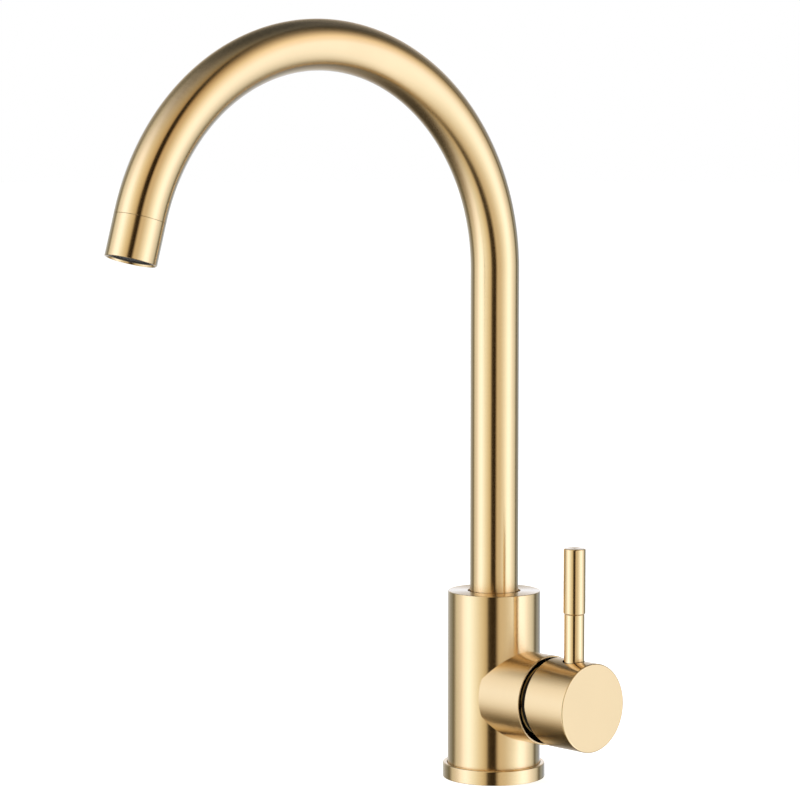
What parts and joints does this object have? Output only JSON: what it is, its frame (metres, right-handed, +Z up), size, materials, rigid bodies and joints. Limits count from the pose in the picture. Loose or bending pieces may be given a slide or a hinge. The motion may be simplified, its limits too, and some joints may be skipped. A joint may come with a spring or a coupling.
{
  "type": "kitchen mixer tap",
  "caption": "Single-lever kitchen mixer tap in brushed gold with a tall swivelling gooseneck spout and a side pin handle.",
  "frame": {"origin": "centre of the base's underside, on the deck that the tap stands on", "axes": "+Z up along the column, +X along the side barrel towards the handle cap, and the spout reaches towards -Y, swung 3.7 degrees past it away from the handle"},
  "size_m": [0.0973, 0.2618, 0.3864],
  "materials": {
    "brushed_gold": "brushed champagne-gold coating over stainless steel",
    "polished_gold": "finely polished champagne-gold coating over stainless steel",
    "brass": "machined",
    "copper": "drawn tube",
    "steel": "plain",
    "ceramic": "lapped",
    "white_plastic": "moulded",
    "black_plastic": "moulded",
    "rubber": "moulded"
  },
  "bodies": {
    "body": {"body_shell": "brushed_gold", "base_flange": "brushed_gold", "base_gasket": "rubber", "base_insert": "brass", "hot_inlet_tube": "copper", "cold_inlet_tube": "copper", "mixing_manifold": "brass", "spout_socket": "brass", "spout_bushing": "black_plastic", "spout_retaining_ring": "steel", "cartridge_base": "white_plastic", "hot_inlet_seal": "rubber", "cold_inlet_seal": "rubber", "outlet_seal": "rubber", "fixed_ceramic_disc": "ceramic", "cartridge_housing": "white_plastic", "cartridge_nut": "brass", "cartridge_dome": "black_plastic"},
    "turret": {"cartridge_turret": "white_plastic", "lever_pivot_pin": "steel"},
    "disc": {"moving_ceramic_disc": "ceramic", "disc_carrier": "white_plastic"},
    "handle": {"lever_spindle": "brass", "handle_cap": "brushed_gold", "handle_grub_screw": "steel", "grub_screw_plug": "rubber", "lever_shank": "polished_gold", "lever_grip": "brushed_gold"},
    "spout": {"spout_tube": "brushed_gold", "spout_spigot": "brass", "spout_o_ring_lower": "rubber", "spout_o_ring_upper": "rubber", "spout_wear_ring": "white_plastic", "outlet_collar": "brushed_gold", "aerator_housing": "black_plastic", "aerator_screen": "steel", "flow_straightener": "white_plastic", "aerator_gasket": "rubber"}
  },
  "joints": [
    {"name": "spout_swivel", "type": "hinge", "parent": "body", "child": "spout", "pos_m": [0, 0, 0.09], "axis": [0, 0, 1], "continuous": true},
    {"name": "handle_temperature", "type": "hinge", "parent": "body", "child": "turret", "pos_m": [0.026, 0, 0.04475], "axis": [1, 0, 0], "range_deg": [-45, 45]},
    {"name": "handle_flow", "type": "hinge", "parent": "turret", "child": "handle", "pos_m": [0.026, 0, 0.04475], "axis": [0, 1, 0], "range_deg": [0, 20]},
    {"name": "disc_slide", "type": "slide", "parent": "turret", "child": "disc", "axis": [0, 0, 1], "range_m": [0, 0.0031]}
  ],
  "couplings": [
    {"joint": "disc_slide", "follows": "handle_flow", "m_per_rad": 0.0086}
  ]
}
